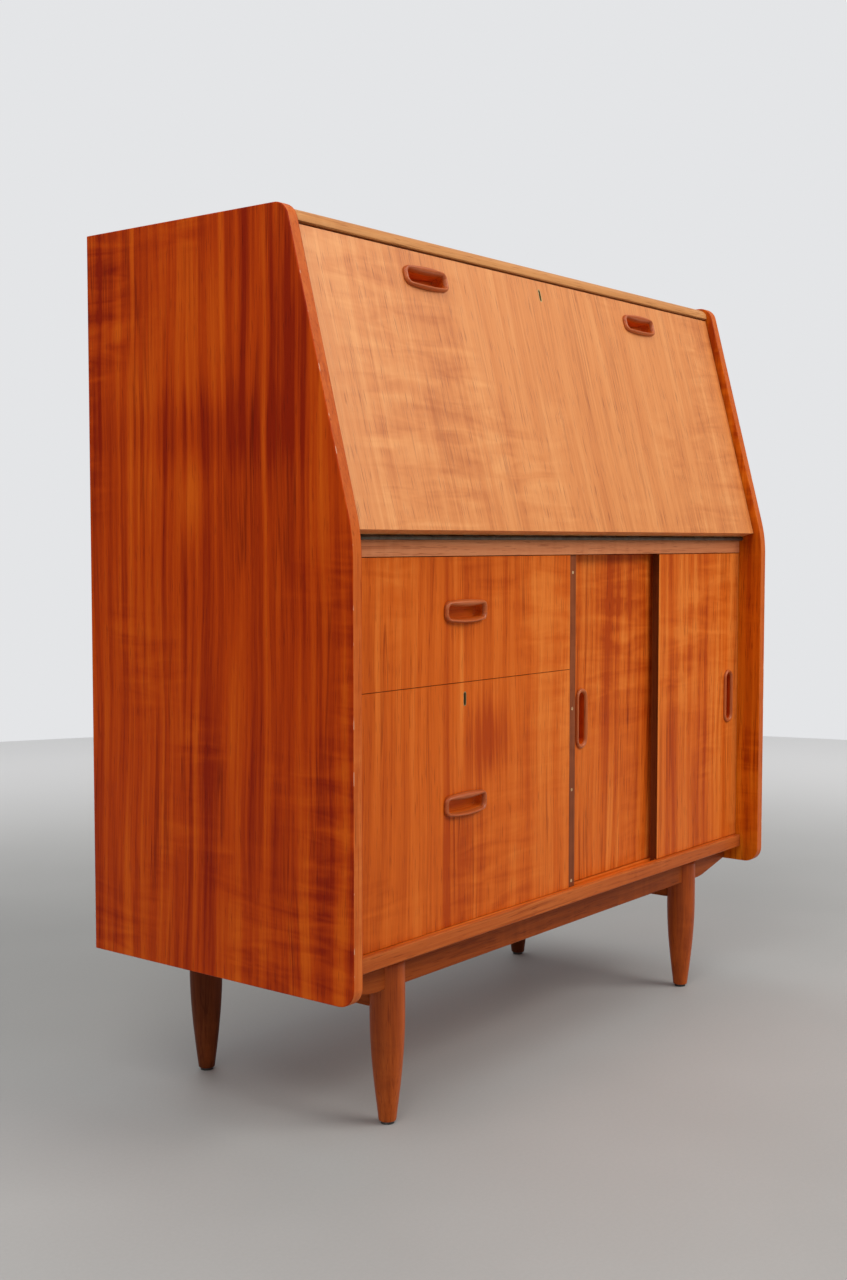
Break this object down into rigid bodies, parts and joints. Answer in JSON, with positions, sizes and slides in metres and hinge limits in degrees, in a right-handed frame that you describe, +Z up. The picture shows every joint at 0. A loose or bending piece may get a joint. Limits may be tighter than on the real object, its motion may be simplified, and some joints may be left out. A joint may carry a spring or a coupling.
{
  "type": "secretary desk",
  "caption": "Teak secretary desk with a sloping hinged fall front over drawers and a cupboard with sliding doors, on a low frame with turned tapered legs.",
  "frame": {"origin": "on the floor below the middle of the desk", "axes": "X to the right seen from the front, the front faces -Y, Z up"},
  "size_m": [0.92, 0.39, 0.975],
  "materials": {
    "panel_teak": "red-brown teak veneer, satin varnish",
    "front_teak": "book-matched teak veneer, satin varnish",
    "solid_teak": "solid teak, satin varnish",
    "frame_teak": "dark solid teak, satin varnish",
    "pale_wood": "pale hardwood, unfinished",
    "plywood": "plywood, unfinished",
    "brass": "dull brass",
    "steel": "plain steel",
    "glide": "dark nylon"
  },
  "bodies": {
    "carcass": {"left_side_panel": "panel_teak", "right_side_panel": "panel_teak", "top_panel": "panel_teak", "writing_board": "panel_teak", "writing_board_lipping": "solid_teak", "bottom_board": "panel_teak", "bottom_board_lipping": "solid_teak", "divider": "solid_teak", "divider_pins": "pale_wood", "upper_back_panel": "plywood", "lower_back_panel": "plywood", "back_screws": "steel", "cupboard_shelf": "panel_teak", "shelf_pins": "brass", "drawer_rail": "pale_wood", "drawer_runners": "pale_wood", "front_rail": "frame_teak", "back_rail": "frame_teak", "side_rails": "frame_teak", "front_left_leg": "frame_teak", "front_right_leg": "frame_teak", "back_left_leg": "frame_teak", "back_right_leg": "frame_teak", "foot_glides": "glide", "frame_blocks": "pale_wood", "frame_screws": "steel", "pigeonhole_shelf": "panel_teak", "pigeonhole_partitions": "panel_teak", "fall_stops": "solid_teak", "hinge_board_leaf": "brass", "hinge_pin": "steel", "fall_strike_plate": "brass"},
    "fall": {"fall_front": "front_teak", "fall_pull_left": "solid_teak", "fall_pull_right": "solid_teak", "hinge_fall_leaf": "brass", "fall_lock_case": "brass", "fall_key_liner": "brass"},
    "fall_bolt": {"fall_lock_bolt": "steel"},
    "upper_drawer": {"upper_drawer_front": "front_teak", "upper_drawer_sides": "pale_wood", "upper_drawer_back": "pale_wood", "upper_drawer_bottom": "plywood", "upper_drawer_pull": "solid_teak"},
    "lower_drawer": {"lower_drawer_front": "front_teak", "lower_drawer_sides": "pale_wood", "lower_drawer_back": "pale_wood", "lower_drawer_bottom": "plywood", "lower_drawer_pull": "solid_teak", "drawer_lock_case": "brass", "drawer_key_liner": "brass"},
    "drawer_bolt": {"drawer_lock_bolt": "steel"},
    "sliding_door_left": {"left_door": "front_teak", "left_door_pull": "solid_teak"},
    "sliding_door_right": {"right_door": "front_teak", "right_door_pull": "solid_teak"},
    "inner_drawer_left": {"small_drawer_left": "front_teak", "small_knob_left": "solid_teak"},
    "inner_drawer_right": {"small_drawer_right": "front_teak", "small_knob_right": "solid_teak"}
  },
  "joints": [
    {"name": "fall_hinge", "type": "hinge", "parent": "carcass", "child": "fall", "pos_m": [0, -0.165, 0.638], "axis": [1, 0, 0], "range_deg": [0, 104.6]},
    {"name": "fall_bolt_slide", "type": "slide", "parent": "fall", "child": "fall_bolt", "axis": [0, 0.2527, 0.9675], "range_m": [0, 0.012]},
    {"name": "upper_drawer_slide", "type": "slide", "parent": "carcass", "child": "upper_drawer", "axis": [0, -1, 0], "range_m": [0, 0.25]},
    {"name": "lower_drawer_slide", "type": "slide", "parent": "carcass", "child": "lower_drawer", "axis": [0, -1, 0], "range_m": [0, 0.25]},
    {"name": "drawer_bolt_slide", "type": "slide", "parent": "lower_drawer", "child": "drawer_bolt", "axis": [0, 0, 1], "range_m": [0, 0.008]},
    {"name": "left_door_slide", "type": "slide", "parent": "carcass", "child": "sliding_door_left", "axis": [1, 0, 0], "range_m": [0, 0.2025]},
    {"name": "right_door_slide", "type": "slide", "parent": "carcass", "child": "sliding_door_right", "axis": [-1, 0, 0], "range_m": [0, 0.2025]},
    {"name": "inner_drawer_left_slide", "type": "slide", "parent": "carcass", "child": "inner_drawer_left", "axis": [0, -1, 0], "range_m": [0, 0.12]},
    {"name": "inner_drawer_right_slide", "type": "slide", "parent": "carcass", "child": "inner_drawer_right", "axis": [0, -1, 0], "range_m": [0, 0.12]}
  ]
}
